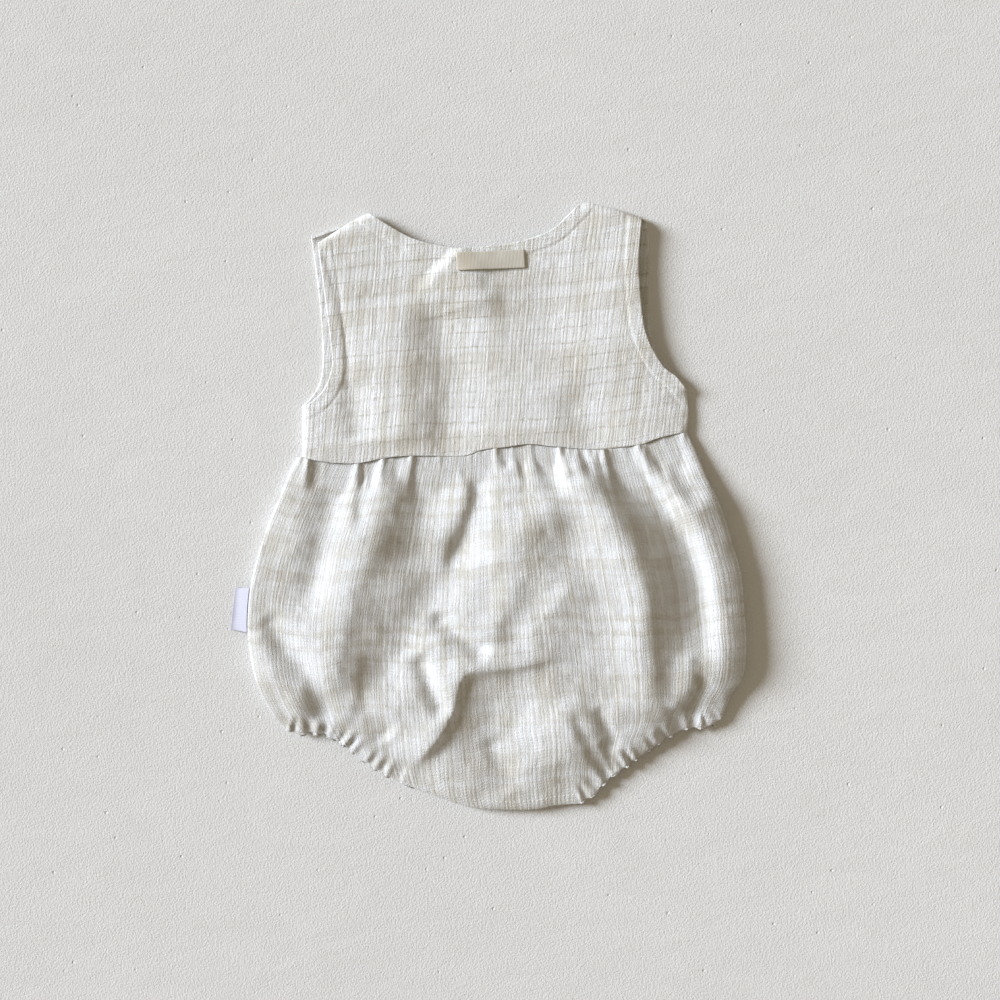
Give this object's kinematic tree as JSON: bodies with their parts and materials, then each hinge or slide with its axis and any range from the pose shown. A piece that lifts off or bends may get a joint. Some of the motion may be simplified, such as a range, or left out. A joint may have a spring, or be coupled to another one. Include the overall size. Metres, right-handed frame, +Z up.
{
  "type": "baby bubble romper bodysuit laid flat",
  "caption": "Sleeveless baby bubble romper bodysuit laid flat with its back up: plain bodice, puffed bloomers gathered at the waist and leg elastics.",
  "frame": {"origin": "on the floor, under the middle of the garment's box", "axes": "+Z up from the floor, +Y from the legs to the neck, +X to the right of someone looking down on the back"},
  "size_m": [0.3321, 0.3911, 0.0249],
  "materials": {
    "bodice_cotton": "slubby crinkled cotton weave, off-white and beige, matte",
    "bloomer_cotton": "slubby crinkled cotton weave, off-white and beige, matte, gathered",
    "cream_ribbon": "tightly woven cream ribbon, faint sheen",
    "white_satin": "thin white satin tape, soft sheen"
  },
  "bodies": {
    "root": {"back_bodice": "bodice_cotton", "front_bodice": "bodice_cotton", "back_bloomer": "bloomer_cotton", "front_bloomer": "bloomer_cotton", "neck_label": "cream_ribbon", "care_label": "white_satin"}
  },
  "joints": []
}
